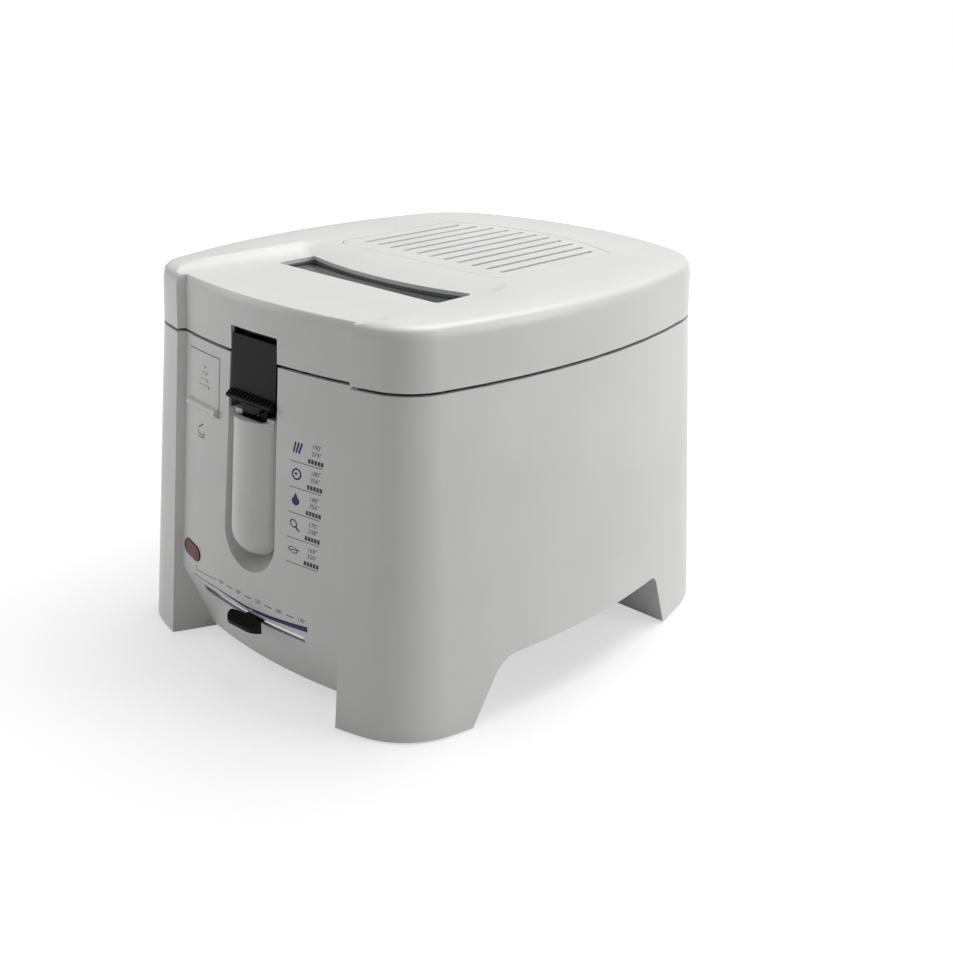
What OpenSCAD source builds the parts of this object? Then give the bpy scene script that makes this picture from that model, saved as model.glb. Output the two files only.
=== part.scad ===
// Compact deep fryer with a fold-down basket handle, a scooped lid with a window,
// a lid-open button and a slide thermostat under the front panel.
// Millimetres. Front faces -Y, +X is the user's right, the floor is z = 0.

/* [Body] */
// Width across the parting line between body and lid
body_w = 270; // [262:1:280]
// Depth across the parting line
body_d = 324; // [316:1:334]
// Height of the parting line above the floor
parting_h = 206; // [200:1:214]
// How far each wall leans out between the parting line and the floor
flare = 18; // [14:1:20]
// Bow radius of the front
front_bow_r = 352; // [330:1:400]
// Bow radius of the sides
side_bow_r = 450; // [420:1:500]
// Bow radius of the rear
rear_bow_r = 230; // [220:1:250]
// Corner radius at the front
front_corner_r = 35; // [32:1:40]
// Corner radius at the rear
rear_corner_r = 67; // [60:1:72]
// Moulding thickness
wall = 2.5; // [2:0.1:3]

/* [Front panel] */
// Half width of the recessed panel at the parting line
panel_half = 77; // [74:1:80]
// Depth of the step at the sides of the panel
panel_step = 5; // [4:0.5:6]
// Slant of the step, in degrees from straight back
step_slant = 25; // [15:1:30]
// Height of the panel's lower edge, where the chin starts
chin_top = 50; // [48:1:54]
// Height of the chin's lower edge
chin_bottom = 8; // [7:1:12]
// How far the chin tucks back
chin_tuck = 18; // [16:1:20]

/* [Lid] */
// Height of the flat lid top above the parting line
lid_h = 38; // [37:0.5:39]
// Gap between lid and body
parting_gap = 2; // [1.6:0.1:2.2]
// Depth of the scoop in front of the filter cover
scoop_depth = 6; // [5:0.5:7]
// Half width of the window opening
window_half = 70; // [66:1:71]
// Number of steam slots in the filter cover
slot_count = 11; // [7:2:11]

/* [Basket and handle] */
// Half width of the handle notch in the lid
notch_half = 20.5; // [20:0.1:21]
// Height of the handle notch in the lid
notch_h = 15.5; // [15:0.5:17]
// Depth of the basket
basket_h = 72; // [66:1:74]
// Wire diameter of the handle bracket
bracket_wire = 4; // [3.6:0.1:4.2]

/* [Controls] */
// Width of the lid-open button
button_w = 35; // [33:1:36]
// Height of the lid-open button
button_h = 36; // [35:0.5:36]
// Length of the thermostat lever from shaft to knob
lever_r = 165; // [163:0.5:166]

/* [Bowl] */
// Depth of the oil bowl
bowl_depth = 118; // [112:1:120]
// Half width of the bowl opening
bowl_half = 96; // [94:1:97]

/* [Hidden] */
$fn = 48;
eps = 0.01;
white = [0.93, 0.93, 0.92];
black = [0.08, 0.08, 0.09];
steel = [0.72, 0.73, 0.74];

draft = atan(flare / parting_h);
panel_y = -body_d / 2 + panel_step;
lid_z = parting_h + parting_gap / 2;
body_top = parting_h - parting_gap / 2;
slant = tan(step_slant);

// The bowl hangs by its flange from a deck below the parting line
deck_drop = 10;
deck_z = parting_h - deck_drop;
deck_t = 3;
flange_t = 1.5;
bowl_front = -110;
bowl_rear = 116;
bowl_corner_r = 42;
bowl_floor = deck_z - bowl_depth;

// The basket frame inside the bowl
basket_half = 84;
basket_front = -98;
basket_rear = 102;
basket_r = 34;
basket_floor = parting_h - 40 - basket_h;
basket_top = parting_h - 40;

// Handle, in the frame of the leaning front panel
pivot_in = 11;
pivot_drop = 14;
core_half = 20;
plate_top = 10;
hub_r = 6.3;
pin_r = 2.5;
neck_half = 11;
grip_top = 35.5;
grip_bottom = 122.5;
grip_r = 18.5;
grip_back = 8;
trough_bottom = 131.8;
trough_r = 23.5;
trough_top_r = 20.8;
ridge_top = 21.7;
ridge_half = 19.8;
tongue_top = 24.6;

// Filter cover in the lid top
cover_half = 72;
cover_front = -26;
cover_rear = 104;
cover_t = 3;
cover_gap = 0.5;
slot_pitch = 12;
slot_w = 3.2;
window_front = -79;
window_rear = -49;
scoop_half = 77;
scoop_bulge = 9;
liner_x = 110;
shoulder = 16;

// Hinge at the rear of the parting line
hinge_y = body_d / 2 + 2;
hinge_r = 6;
hinge_pin_r = 2.5;
knuckle_half = 16;

// Lid-open button and latch
button_x = -50;
button_z = 24.5;
plate_z = 26;
button_gap = 0.6;
latch_x = button_x;
plunger_tip = 23.6;
latch_y = -132;
latch_z = parting_h - 46;

// Pilot lamp lens, an upright oval slot
lens_x = -62;
lens_drop = 140;
lens_run = 5.2;
lens_r = 5;

// Thermostat under the bowl
shaft_y = -2;
lever_z = 48.6;
knob_z = 45;
lever_rest = 1.9;

base_z = 44;
base_t = 2.5;
foot_x = 118;
foot_y_front = -134;
foot_y_rear = 112;

// ---------- plan outline from tangent arcs ----------

function arc(c, r, a0, a1, n) =
  [for (i = [0:n - 1]) let (a = a0 + (a1 - a0) * i / n) c + r * [cos(a), sin(a)]];

function hit(c0, r0, c1, r1, side) =
  let (d = c1 - c0, len = norm(d), a = (r0 * r0 - r1 * r1 + len * len) / (2 * len),
       h = sqrt(r0 * r0 - a * a))
  c0 + d * a / len + side * h * [-d[1], d[0]] / len;

function heading(from, to) = atan2(to[1] - from[1], to[0] - from[0]);

front_c = [0, front_bow_r - body_d / 2];
rear_c = [0, body_d / 2 - rear_bow_r];
side_c = [body_w / 2 - side_bow_r, 0];
front_corner = hit(front_c, front_bow_r - front_corner_r, side_c, side_bow_r - front_corner_r, 1);
rear_corner = hit(rear_c, rear_bow_r - rear_corner_r, side_c, side_bow_r - rear_corner_r, -1);
a_front = heading(front_c, front_corner);
a_side = heading(side_c, front_corner);
a_side_end = heading(side_c, rear_corner);
a_rear = heading(rear_c, rear_corner);

// Angle on an arc of radius r about front_c at which x is reached
function front_angle(x, r) = asin(x / r) - 90;

// Right half of the plan, grown by o, with the panel set back by step behind half width p
function half_plan(o, step, p) = let (r = front_bow_r + o, p_in = p - slant * step) concat(
  arc(front_c, r - step, -90, front_angle(p_in, r - step), 4),
  [front_c + (r - step) * [cos(front_angle(p_in, r - step)), sin(front_angle(p_in, r - step))]],
  arc(front_c, r, front_angle(p, r), a_front, 2),
  arc(front_corner, front_corner_r + o, a_front, a_side, 7),
  arc(side_c, side_bow_r + o, a_side, a_side_end, 8),
  arc(rear_corner, rear_corner_r + o, a_side_end, a_rear, 7),
  arc(rear_c, rear_bow_r + o, a_rear, 90, 5));

function plan(o, step, p) = let (h = half_plan(o, step, p))
  concat([[0, body_d / 2 + o]], [for (i = [len(h) - 1:-1:1]) [-h[i][0], h[i][1]]], h);

function ring(o, z, step = panel_step, p = panel_half) =
  [for (q = plan(o, step, p)) [q[0], q[1], z]];

function lean(z) = flare * (1 - z / parting_h);

function front_y(x, o) = front_c[1] - sqrt(pow(front_bow_r + o, 2) - x * x);

// Polygon with every corner rounded to its own radius
function filleted(pts, radii, n = 5) = [
  for (i = [0:len(pts) - 1])
    let (b = pts[i], p = pts[(i + len(pts) - 1) % len(pts)], q = pts[(i + 1) % len(pts)],
         u = (p - b) / norm(p - b), v = (q - b) / norm(q - b),
         half = acos(u * v) / 2, c = b + (u + v) / norm(u + v) * radii[i] / sin(half),
         t = radii[i] / tan(half), a0 = heading(c, b + u * t), a1 = heading(c, b + v * t),
         turn = ((a1 - a0 + 540) % 360) - 180)
    for (k = [0:n]) c + radii[i] * [cos(a0 + turn * k / n), sin(a0 + turn * k / n)]];

// Solid through a stack of equal rings, lowest first
module loft(rings) {
  n = len(rings[0]);
  m = len(rings);
  polyhedron(
    points = [for (r = rings) each r],
    faces = concat(
      [[for (i = [0:n - 1]) i]],
      [[for (i = [n - 1:-1:0]) (m - 1) * n + i]],
      [for (k = [0:m - 2]) for (i = [0:n - 1]) let (j = (i + 1) % n)
        each [[k * n + i, (k + 1) * n + i, (k + 1) * n + j], [k * n + i, (k + 1) * n + j, k * n + j]]]));
}

module box(x0, x1, y0, y1, z0, z1) translate([x0, y0, z0]) cube([x1 - x0, y1 - y0, z1 - z0]);

module rounded_rect(half, y0, y1, r)
  polygon(filleted([[-half, y0], [half, y0], [half, y1], [-half, y1]], [r, r, r, r], 6));

module cyl_x(r, x0, x1) translate([x0, 0, 0]) rotate([0, 90, 0]) cylinder(r = r, h = x1 - x0);

module cyl_y(r, y0, y1) translate([0, y0, 0]) rotate([-90, 0, 0]) cylinder(r = r, h = y1 - y0);

// A round wire through a list of points, with ball joints at its bends
module wire(points, d) {
  for (i = [0:len(points) - 2]) {
    v = points[i + 1] - points[i];
    translate(points[i]) rotate([0, acos(v[2] / norm(v)), atan2(v[1], v[0])])
      cylinder(d = d, h = norm(v), $fn = 24);
    if (i > 0) translate(points[i]) sphere(d = 1.15 * d, $fn = 24);
  }
}

// A pan-head screw standing up, head below
module screw(d, len) {
  cylinder(d = d, h = len, $fn = 24);
  translate([0, 0, -0.6 * d]) difference() {
    cylinder(d = 2 * d, h = 0.6 * d + eps, $fn = 32);
    for (a = [0, 90]) rotate([0, 0, a]) box(-0.7 * d, 0.7 * d, -0.12 * d, 0.12 * d, -1, 0.3 * d);
  }
}

// Helical spring standing on z = 0
module coil(r, d, len, turns, steps = 12, sides = 6) {
  count = turns * steps;
  loft([for (i = [0:count]) let (a = 360 * i / steps, z = len * i / count)
    [for (k = [0:sides - 1]) let (b = -360 * k / sides)
      [(r + d / 2 * cos(b)) * cos(a), (r + d / 2 * cos(b)) * sin(a), z + d / 2 * sin(b)]]]);
}

// Everything on the front panel is laid out along the leaning panel face
module on_panel() translate([0, panel_y, parting_h]) rotate([-draft, 0, 0]) children();

// ---------- body housing ----------

// Depth of the panel behind the corners: the chin tucks further back below chin_top
function step_at(z) = panel_step + chin_tuck * max(0, chin_top - z) / (chin_top - chin_bottom);
function half_at(z) = panel_half + 3 * (1 - z / parting_h);

module body_form(inset, z0, z1) {
  levels = z0 < chin_top && z1 > chin_top ? [z0, chin_top, z1] : [z0, z1];
  loft([for (z = levels) ring(lean(z) - inset, z, step_at(z), half_at(z) + 1.1 * inset)]);
}

// The gap between the feet below the chin
module chin_gap() {
  y = front_y(panel_half, lean(0));
  p = half_at(0);
  translate([0, 0, -5]) linear_extrude(chin_bottom + 5) polygon([
    [-p - slant * 60, y - 60], [p + slant * 60, y - 60],
    [p - slant * 34, y + 34], [-p + slant * 34, y + 34]]);
}

module side_tunnel(grow) {
  outline = filleted(
    [[-119 - grow, -6], [-92 - grow, 40.5 + grow], [60 + grow, 40.5 + grow], [75 + grow, -6]],
    [2, 22, 8, 2]);
  translate([-200, 0, 0]) rotate([90, 0, 90]) linear_extrude(400) polygon(outline);
}

module rear_tunnel(grow) {
  outline = filleted([[-96 - grow, -6], [-82 - grow, 34 + grow], [82 + grow, 34 + grow], [96 + grow, -6]],
    [2, 12, 12, 2]);
  translate([0, 220, 0]) rotate([90, 0, 0]) linear_extrude(220) polygon(outline);
}

// Walls that close the four feet towards the tunnels
module foot_walls() {
  for (s = [-1, 1]) intersection() {
    difference() { side_tunnel(wall); side_tunnel(0); }
    union() {
      translate([s * 114, 0, 0]) box(-50, 50, -140, -78, -10, base_z - 1);
      translate([s * 130, 0, 0]) box(-52, 50, 56, 90, -10, base_z - 1);
    }
  }
  for (s = [-1, 1]) intersection() {
    difference() { rear_tunnel(wall); rear_tunnel(0); }
    translate([s * 104, 0, 0]) box(-28, 28, 66, 160, -10, base_z - 1);
  }
}

module trough(grow, top) {
  r_end = trough_r + grow;
  ball_z = trough_r - trough_bottom;
  translate([0, 0, ball_z]) {
    cylinder(r1 = r_end, r2 = trough_top_r + grow, h = top - ball_z);
    sphere(r = r_end);
  }
}

module bracket_pocket(grow) box(-27 - grow, 27 + grow, 2.4 - grow, 33 + grow, -34 - grow, 12);

module bowl_plan(grow)
  rounded_rect(bowl_half + grow, bowl_front - grow, bowl_rear + grow, bowl_corner_r + grow);

module button_plate(grow) box(-button_w / 2 - grow, button_w / 2 + grow, -20, 14.5,
  -plate_z - button_h / 2 - grow, -plate_z + button_h / 2 + grow);

module lens_form(grow, y0, y1) translate([lens_x, 0, -lens_drop]) rotate([0, 8, 0]) {
  for (s = [-1, 1]) translate([s * lens_run, 0, 0]) cyl_y(lens_r + grow, y0, y1);
  box(-lens_run, lens_run, y0, y1, -lens_r - grow, lens_r + grow);
}

module lever_slot() box(-48, 48, -180, -120, knob_z - 2.4, knob_z + 2.4);

module body_shell() color(white) difference() {
  union() {
    difference() {
      body_form(0, 1.2, body_top);
      // inside below the deck
      difference() {
        body_form(wall, -2, deck_z - deck_t);
        foot_walls();
      }
      // inside above the deck
      body_form(wall, deck_z, body_top + 2);
    }
    // lining of the handle niche and of the bracket pocket
    intersection() {
      body_form(0.5, 40, deck_z - 0.4);
      on_panel() union() {
        intersection() { trough(2, 0); box(-40, 40, 0, 60, -150, -12); }
        bracket_pocket(2);
      }
    }
    // screw posts and the bosses of the hinge
    for (x = [-foot_x, foot_x]) for (y = [foot_y_front, foot_y_rear]) translate([x, y, 1.2])
      cylinder(r = 9, h = base_z - 1.2);
    intersection() {
      body_form(1, 1.2, base_z);
      for (s = [-1, 1]) for (y = [foot_y_front, foot_y_rear]) {
        translate([s * foot_x, y, 0]) box(-30, 30, -1.2, 1.2, 2, base_z - 2);
      }
    }
    for (x = [-26, 26]) translate([x, 146, 150]) cylinder(r = 5, h = deck_z - 151);
    // lugs of the latch pin and the stop plate behind the button
    for (s = [-1, 1]) translate([latch_x + s * 8.6, latch_y, 0])
      box(-1.6, 1.6, -5, 5, latch_z - 6, deck_z - 1);
    on_panel() translate([button_x, 17, -button_z]) box(-17, 17, 0, 2, -9, 14);
  }
  // foot pad seats
  for (x = [-foot_x, foot_x]) for (y = [foot_y_front, foot_y_rear]) translate([x, y, -1]) {
    cylinder(r = 7.2, h = 4);
    cylinder(d = 3, h = 60, $fn = 24);
  }
  side_tunnel(0);
  rear_tunnel(0);
  chin_gap();
  // bowl opening in the deck
  translate([0, 0, deck_z - 8]) linear_extrude(20) bowl_plan(2.5);
  on_panel() {
    trough(0, 20);
    box(-notch_half, notch_half, -20, 8, -34, 20);
    bracket_pocket(0);
    translate([button_x, 0, 0]) button_plate(button_gap);
    lens_form(0.3, -12, 16);
  }
  // slot of the thermostat lever through the chin
  lever_slot();
  // way through the deck and the stop plate for the latch, and its pin bore
  box(latch_x - 7, latch_x + 7, latch_y - 17, latch_y + 14, latch_z - 8, deck_z + 4);
  translate([0, latch_y, latch_z]) cyl_x(2, latch_x - 20, latch_x + 20);
  // hinge relief at the rear edge
  box(-40, 40, 152, 175, parting_h - 8, parting_h + 5);
  // cord grommet seat and screw holes of the hinge bracket
  translate([70, 120, 68]) cyl_y(7, 0, 60);
  for (x = [-26, 26]) translate([x, 146, 170]) cylinder(d = 3, h = 40, $fn = 24);
}

module base_plate() color([0.3, 0.3, 0.31]) difference() {
  union() {
    body_form(wall + 0.6, base_z, base_z + base_t);
    // tray under the front end of the thermostat lever
    difference() {
      box(-63, 63, -150, -124, knob_z - 10, base_z + base_t);
      box(-61, 61, -160, -126, knob_z - 8, base_z + base_t + 1);
    }
    // stiffening ribs round the vents
    for (y = [24:20:84]) for (s = [-1, 1])
      translate([s * 64, 0, 0]) box(-20, 20, y - 1, y + 1, base_z + base_t - eps, base_z + base_t + 2);
  }
  box(-61, 61, -170, -126, knob_z - 8, base_z + base_t + 1);
  for (x = [-84:12:84]) for (y = [34, 54, 74]) if (abs(x) > 30) translate([x, y, base_z - 1])
    linear_extrude(12) { square([4, 12], center = true); }
  for (x = [-foot_x, foot_x]) for (y = [foot_y_front, foot_y_rear]) translate([x, y, base_z - 1])
    cylinder(d = 3.6, h = 8, $fn = 24);
}

module base_screws() color(steel)
  for (x = [-foot_x, foot_x]) for (y = [foot_y_front, foot_y_rear])
    translate([x, y, base_z + base_t + 2.2]) rotate([180, 0, 0]) screw(3, 14);

module foot_pads() color([0.25, 0.25, 0.26])
  for (x = [-foot_x, foot_x]) for (y = [foot_y_front, foot_y_rear]) translate([x, y, 0])
    difference() {
      cylinder(r = 7, h = 2.9);
      translate([0, 0, -1]) cylinder(r = 2.5, h = 2.5);
    }

// ---------- bowl and heating ----------

function bowl_ring(grow, r, z) = [for (p = filleted(
  [[-bowl_half - grow, bowl_front - grow], [bowl_half + grow, bowl_front - grow],
   [bowl_half + grow, bowl_rear + grow], [-bowl_half - grow, bowl_rear + grow]],
  [r, r, r, r], 7)) [p[0], p[1], z]];

module bowl_form(t, top) {
  low = bowl_floor - t;
  r = bowl_corner_r + t;
  loft([
    bowl_ring(t - 16, r - 14, low),
    bowl_ring(t - 9, r - 8, low + 2.5),
    bowl_ring(t - 5.5, r - 5, low + 8),
    bowl_ring(t - 4.5, r - 4, low + 16),
    bowl_ring(t, r, top)]);
}

module oil_bowl() color([0.22, 0.22, 0.23]) difference() {
  union() {
    bowl_form(1.2, deck_z + 0.2);
    translate([0, 0, deck_z + 0.2]) linear_extrude(flange_t) bowl_plan(8);
  }
  difference() {
    bowl_form(0, deck_z + 4);
    // level marks pressed into the rear wall
    for (z = [45, 70]) box(-12, 12, bowl_rear - 6, bowl_rear, bowl_floor + z, bowl_floor + z + 1.2);
  }
}

shield_z = bowl_floor - 15;

module heat_shield() color(steel) difference() {
  translate([0, 0, shield_z]) linear_extrude(60) rounded_rect(106, -119.5, 126, 50);
  translate([0, 0, shield_z + 0.8]) linear_extrude(61) rounded_rect(105.2, -118.7, 125.2, 49.2);
  for (a = [0:45:315]) rotate([0, 0, a + 22.5]) translate([84, 0, shield_z - 2]) cylinder(r = 5, h = 6);
  for (x = [-terminal_x, terminal_x]) translate([x, terminal_y, shield_z - 2]) cylinder(r = 6, h = 6);
  translate([-6, -66, shield_z - 2]) cylinder(r = 4, h = 6);
}

element_y = 15;
element_z = bowl_floor - 1.2 - 4.3;
element_r = 66;
terminal_x = 14;
terminal_y = element_y + sqrt(pow(element_r, 2) - pow(terminal_x, 2));

module heating_element() color([0.35, 0.33, 0.32]) translate([0, element_y, element_z]) {
  open_a = asin(terminal_x / element_r);
  rotate([0, 0, 90 + open_a]) rotate_extrude(angle = 360 - 2 * open_a)
    translate([element_r, 0]) circle(r = 4, $fn = 24);
  for (s = [-1, 1]) translate([s * terminal_x, terminal_y - element_y, 0]) {
    sphere(r = 4.1, $fn = 24);
    translate([0, 0, -16]) cylinder(r = 4, h = 16, $fn = 24);
    translate([0, 0, -20]) cylinder(r = 1.6, h = 5, $fn = 16);
  }
}

module element_clamp() color(steel) for (a = [-90, 0, 180]) translate([0, element_y, element_z])
  rotate([0, 0, a]) difference() {
    box(52, 78, -7, 7, -6.4, -4.6);
    translate([56, 0, -8]) cylinder(r = 2.1, h = 14, $fn = 24);
  }

module element_nuts() color(steel) for (a = [-90, 0, 180]) translate([0, element_y, element_z])
  rotate([0, 0, a]) translate([56, 0, -8.4]) {
    cylinder(r = 3.6, h = 1.9, $fn = 6);
    cylinder(r = 1.95, h = 12.4, $fn = 24);
  }

thermostat_top = shield_z - 0.3;

module thermostat_body() color([0.85, 0.82, 0.74]) translate([0, shaft_y, 0]) difference() {
  union() {
    translate([0, 0, thermostat_top - 9]) linear_extrude(9) rounded_rect(13, -13, 13, 3);
    for (x = [-17, 17]) translate([x, 0, thermostat_top - 1.5]) cylinder(r = 5, h = 1.5);
    for (x = [-6, 6]) translate([x, 13, thermostat_top - 6]) box(-2.4, 2.4, -1, 9, 0, 0.8);
  }
  translate([0, 0, thermostat_top - 10]) cylinder(r = 3.05, h = 8);
}

module thermostat_sensor() color([0.8, 0.5, 0.3]) {
  translate([4, -66, bowl_floor - 1.2 - 2.9]) rotate([0, 90, 0]) cylinder(r = 2.6, h = 38, $fn = 24);
  wire([[4.5, -66, bowl_floor - 4.1], [-6, -66, bowl_floor - 5], [-6, -66, shield_z - 4],
    [-6, shaft_y - 14, thermostat_top - 4]], 1.6);
}

module thermal_cutout() color([0.9, 0.9, 0.88]) translate([-30, 20, bowl_floor - 1.5]) {
  translate([0, 0, -9]) cylinder(r = 8, h = 9);
  for (s = [-1, 1]) translate([s * 11, 0, -6]) box(-4, 4, -2.4, 2.4, 0, 0.8);
}

module terminal_block() color(white) translate([70, 118, base_z + base_t + 0.3]) difference() {
  box(-16, 16, -8, 8, 0, 14);
  for (x = [-10, 0, 10]) translate([x, 0, 4]) {
    cyl_y(2.6, -9, 9);
    cylinder(r = 2, h = 12, $fn = 24);
  }
}

// A lead along a Bezier curve p
function bezier(p, t) = pow(1 - t, 3) * p[0] + 3 * t * pow(1 - t, 2) * p[1]
  + 3 * t * t * (1 - t) * p[2] + pow(t, 3) * p[3];

module lead(p, d, steps = 9) loft([for (i = [0:steps])
  let (t = i / steps,
       v = bezier(p, t + 0.01) - bezier(p, t - 0.01),
       side = cross(v, [0, 1, 0.2]),
       u = side / norm(side),
       w = cross(v, u) / norm(cross(v, u)))
  [for (k = [0:7]) bezier(p, t) + d / 2 * (cos(45 * k) * u + sin(45 * k) * w)]]);

module wiring() color([0.5, 0.35, 0.2]) {
  y_block = 109.6;
  z_block = base_z + base_t + 4.3;
  tab_z = element_z - 18;
  // to the element, to the thermostat, and from there to the pilot lamp's side
  lead([[60, y_block, z_block], [58, 92, z_block + 2], [34, 96, tab_z], [terminal_x + 3.5, 88, tab_z]], 2.2);
  lead([[70, y_block, z_block], [72, 60, z_block + 2],
        [30, 18.5, z_block], [8.6, 18.5, thermostat_top - 5.6]], 2.2);
  lead([[80, y_block, z_block], [84, 70, z_block], [88, 40, z_block], [88, 40, shield_z - 0.4]], 2.2);
}

module cord_grommet() color(black) translate([70, 0, 68]) difference() {
  union() {
    cyl_y(6.9, 152, 182);
    cyl_y(10, 176.5, 180);
    cyl_y(9, 150, 153);
  }
  cyl_y(4.1, 140, 190);
  for (y = [166, 170]) box(-8, 8, y, y + 1.2, 4.8, 12);
}

// ---------- indicator ----------

module indicator_lens() color([0.75, 0.12, 0.1]) on_panel() {
  difference() {
    intersection() {
      lens_form(0, -6, 12);
      rotate([draft, 0, 0]) translate([0, -panel_y, -parting_h]) body_form(-0.8, 20, body_top);
    }
    lens_form(-1.2, 8.2, 13);
  }
}

module indicator_lamp() color([0.95, 0.6, 0.3]) on_panel() translate([lens_x, 0, -lens_drop]) {
  cyl_y(2.6, 13.5, 27);
  box(-4.5, 4.5, 27, 31, -4.5, 4.5);
}

// ---------- hinge ----------

module hinge_bracket() color(steel) difference() {
  union() {
    box(-36, 36, 140, 153, deck_z + 0.3, deck_z + 2.3);
    for (s = [-1, 1]) translate([s * 22.6 - 3, 0, 0]) {
      box(0, 6, 144, 158, deck_z + 2, parting_h - 2.6);
      translate([0, hinge_y, parting_h]) cyl_x(hinge_r - 0.6, 0, 6);
      rotate([90, 0, 90]) linear_extrude(6) polygon([[150, deck_z + 2], [163, parting_h - 5.2],
        [hinge_y - 1, parting_h - 4], [hinge_y - 4, parting_h + 2], [152, parting_h - 2.6]]);
    }
  }
  translate([0, hinge_y, parting_h]) cyl_x(hinge_pin_r, -60, 60);
  for (x = [-26, 26]) translate([x, 146, deck_z - 5]) {
    cylinder(d = 3.4, h = 10, $fn = 24);
    translate([0, 0, 7.3]) cylinder(d = 7, h = 12);
  }
}

module hinge_screws() color(steel)
  for (x = [-26, 26]) translate([x, 146, deck_z + 2.35]) rotate([180, 0, 0]) screw(3, 12);

module hinge_pin() color(steel) translate([0, hinge_y, parting_h]) cyl_x(hinge_pin_r, -29, 29);

// Torsion spring round the pin, with one leg on the bracket
module lid_spring() color(steel) translate([0, hinge_y, parting_h])
  rotate([0, 90, 0]) translate([0, 0, -0.8]) for (i = [0:2]) translate([0, 0, i * 1.25 - 1.2])
    rotate_extrude() translate([3.4, 0]) circle(r = 0.6, $fn = 16);

// ---------- lid ----------

// Stations of the lid's profile: how far each ring is inset, and its height below the top
lid_profile = [[1.2, 10], [2.4, 5], [4.4, 2.8], [8.5, 1.4], [22, 0]];

module lid_form(inset, low, profile = lid_profile) {
  p = panel_half + 1.1 * inset;
  loft(concat(
    [ring(-inset, low, panel_step, p)],
    [for (q = profile) ring(-inset - q[0], parting_h + lid_h - inset - q[1], panel_step, p)]));
}

// Scoop in front of the filter cover: a ramp, the window floor and a bulging rear wall.
// Each row has its station, its share of the depth and its share of the bulge
scoop_rows = [[-185, 0.52, 0], [-120, 0.8, 0], [-84, 1, 0], [window_rear, 1, 1], [-44.5, 0.78, 0.95],
  [-38, 0.42, 0.8], [-32, 0.15, 0.6], [-26.5, 0, 0.4]];
function scoop_side(x) = let (t = (abs(x) - scoop_half) / shoulder)
  t <= 0 ? 1 : t >= 1 ? 0 : 0.5 + 0.5 * cos(180 * t);
scoop_cols = concat([for (i = [0:4]) -scoop_half - shoulder * (1 - i / 4)],
  [for (i = [-3:3]) scoop_half * i / 4],
  [for (i = [0:4]) scoop_half + shoulder * i / 4]);
function scoop_y(r, x) = r[0] - scoop_bulge * r[2] * max(0, 1 - pow(x / scoop_half, 2));

module scoop() {
  start = parting_h + lid_h + 0.7;
  top = start + 12;
  side = scoop_half + shoulder;
  loft([for (r = scoop_rows) concat(
    [for (x = scoop_cols) [-x, scoop_y(r, x), start - (scoop_depth + 0.7) * r[1] * scoop_side(x)]],
    [[-side, r[0], top], [side, r[0], top]])]);
}

// Window with its rear edge along the foot of the bulging wall
module window_plan(grow, r) {
  bow = (pow(window_half, 2) + pow(scoop_bulge, 2)) / (2 * scoop_bulge);
  difference() {
    rounded_rect(window_half + grow, window_front - grow, window_rear + grow, r);
    translate([0, window_rear - scoop_bulge + bow]) circle(r = bow - grow, $fn = 360);
  }
}

module cover_plan(grow) intersection() {
  rounded_rect(cover_half + grow, cover_front - grow, cover_rear + 12, 10);
  translate([0, cover_rear - 150]) circle(r = 150 + grow, $fn = 120);
}

// The four liner screws, seen from the parting plane
module at_liner_screws() for (x = [-liner_x, liner_x]) for (y = [-90, 90])
  translate([x, y, parting_h]) children();

module lid_shell() color(white) difference() {
  union() {
    difference() {
      lid_form(0, lid_z);
      scoop();
      difference() {
        lid_form(wall, parting_h - 2, [lid_profile[0], lid_profile[2], lid_profile[4]]);
        translate([0, 0, -wall]) scoop();
      }
    }
    // ledge under the filter cover
    translate([0, 0, parting_h + lid_h - 6.5]) linear_extrude(4.5) cover_plan(4);
    // hinge knuckle
    difference() {
      union() {
        translate([0, hinge_y, parting_h]) cyl_x(hinge_r, -knuckle_half, knuckle_half);
        box(-knuckle_half, knuckle_half, 154, hinge_y, parting_h + 1, parting_h + 14);
      }
      box(-20, 20, 140, hinge_y - hinge_r + 0.5, parting_h - 8, parting_h + 0.6);
    }
    // catch of the latch, a tab with a tooth towards the hook
    translate([latch_x, latch_y, parting_h]) rotate([90, 0, 90]) translate([0, 0, -7]) linear_extrude(14)
      polygon([[-14, 36], [-14, -10], [-7.8, -10], [-7.8, -8.5], [-11, -6.5], [-11, 36]]);
    // posts of the liner screws
    at_liner_screws() translate([0, 0, 4.2]) cylinder(r = 4, h = lid_h - 7);
  }
  // seat, steam opening and window
  translate([0, 0, parting_h + lid_h - cover_t - 0.4]) linear_extrude(10) cover_plan(cover_gap);
  translate([0, 0, parting_h + 10]) linear_extrude(40) rounded_rect(63, -16, 88, 6);
  translate([0, 0, parting_h]) linear_extrude(60) window_plan(0, 3);
  // handle notch
  box(-notch_half, notch_half, -175, -140, parting_h - 3, parting_h + notch_h);
  // hinge bore and relief for the bracket lugs
  translate([0, hinge_y, parting_h]) cyl_x(hinge_pin_r + 0.05, -60, 60);
  for (s = [-1, 1]) translate([s * 22.6, hinge_y, parting_h]) cyl_x(hinge_r + 3, -4.6, 4.6);
  translate([0, hinge_y, parting_h]) cyl_x(4.4, -3, 3);
  at_liner_screws() cylinder(d = 2.6, h = 16, $fn = 24);
}

pane_z = parting_h + lid_h - scoop_depth - wall - 3.4;

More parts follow.
